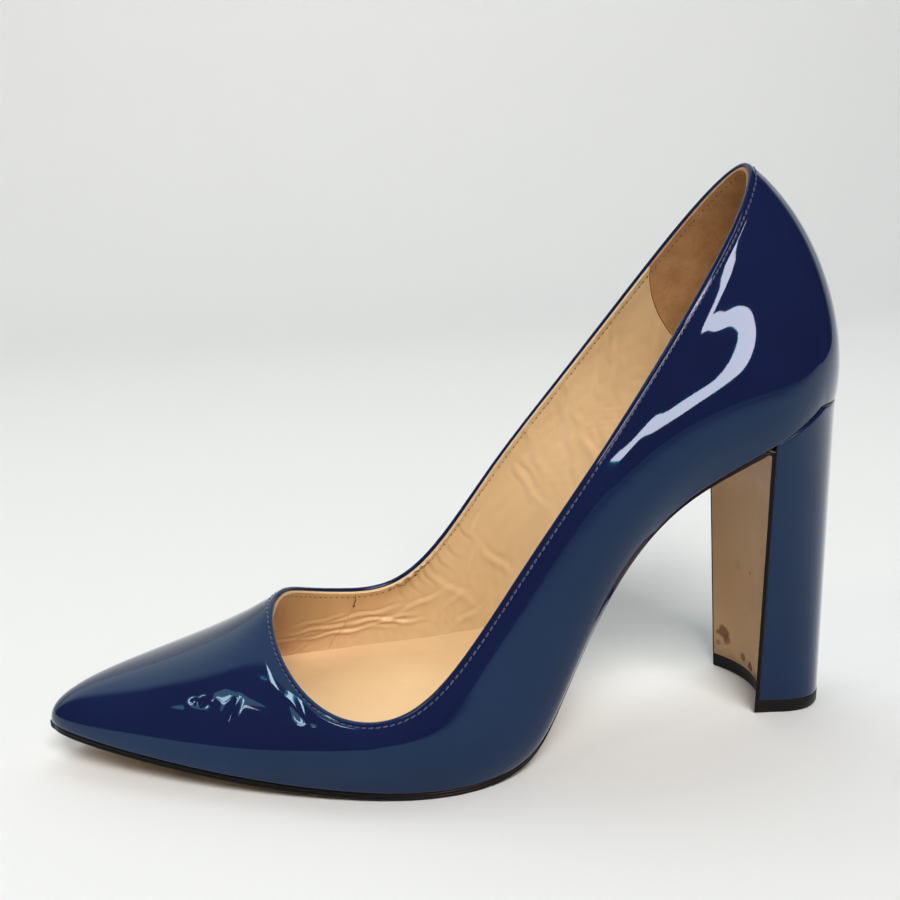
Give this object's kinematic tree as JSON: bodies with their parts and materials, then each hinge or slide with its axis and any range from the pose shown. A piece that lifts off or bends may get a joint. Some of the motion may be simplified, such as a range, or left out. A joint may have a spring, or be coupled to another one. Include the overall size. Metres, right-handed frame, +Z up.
{
  "type": "high heel pump",
  "caption": "Pointed-toe court shoe in glossy navy patent leather with a tall covered block heel, low-cut topline, tan lining and leather sole",
  "frame": {"origin": "centre of the shoe's bounding box in plan, on the floor the shoe stands on", "axes": "+X runs from the toe to the heel, +Y towards the inner side of the left foot, +Z up"},
  "size_m": [0.2266, 0.08, 0.1584],
  "materials": {
    "patent_leather": "high gloss patent coating, deep navy",
    "lining_leather": "smooth semi-matte tan",
    "suede": "napped brown suede",
    "sole_leather": "smooth natural tan with black painted edge",
    "fibre_board": "matt pressed fibre",
    "backing_cloth": "matt woven",
    "thread": "navy polyester thread",
    "cork": "matt granulated cork",
    "steel": "satin",
    "foam": "matt soft foam",
    "heel_plastic": "matt moulded",
    "lift_rubber": "matt black, slightly worn"
  },
  "bodies": {
    "root": {"upper": "patent_leather", "vamp_lining": "lining_leather", "outer_lining": "lining_leather", "inner_lining": "lining_leather", "heel_grip": "suede", "heel_counter": "fibre_board", "toe_puff": "fibre_board", "outer_backing": "backing_cloth", "inner_backing": "backing_cloth", "topline_tape": "backing_cloth", "topline_thread": "thread", "lasted_margin": "patent_leather", "bottom_filler": "cork", "shank": "steel", "insole_board": "fibre_board", "sock_foam": "foam", "sock_lining": "lining_leather", "shank_rivets": "steel", "heel_screw": "steel", "heel_nails": "steel", "outsole": "sole_leather", "heel_cover": "patent_leather", "heel_core": "heel_plastic", "lift_pins": "steel", "top_lift": "lift_rubber"}
  },
  "joints": []
}
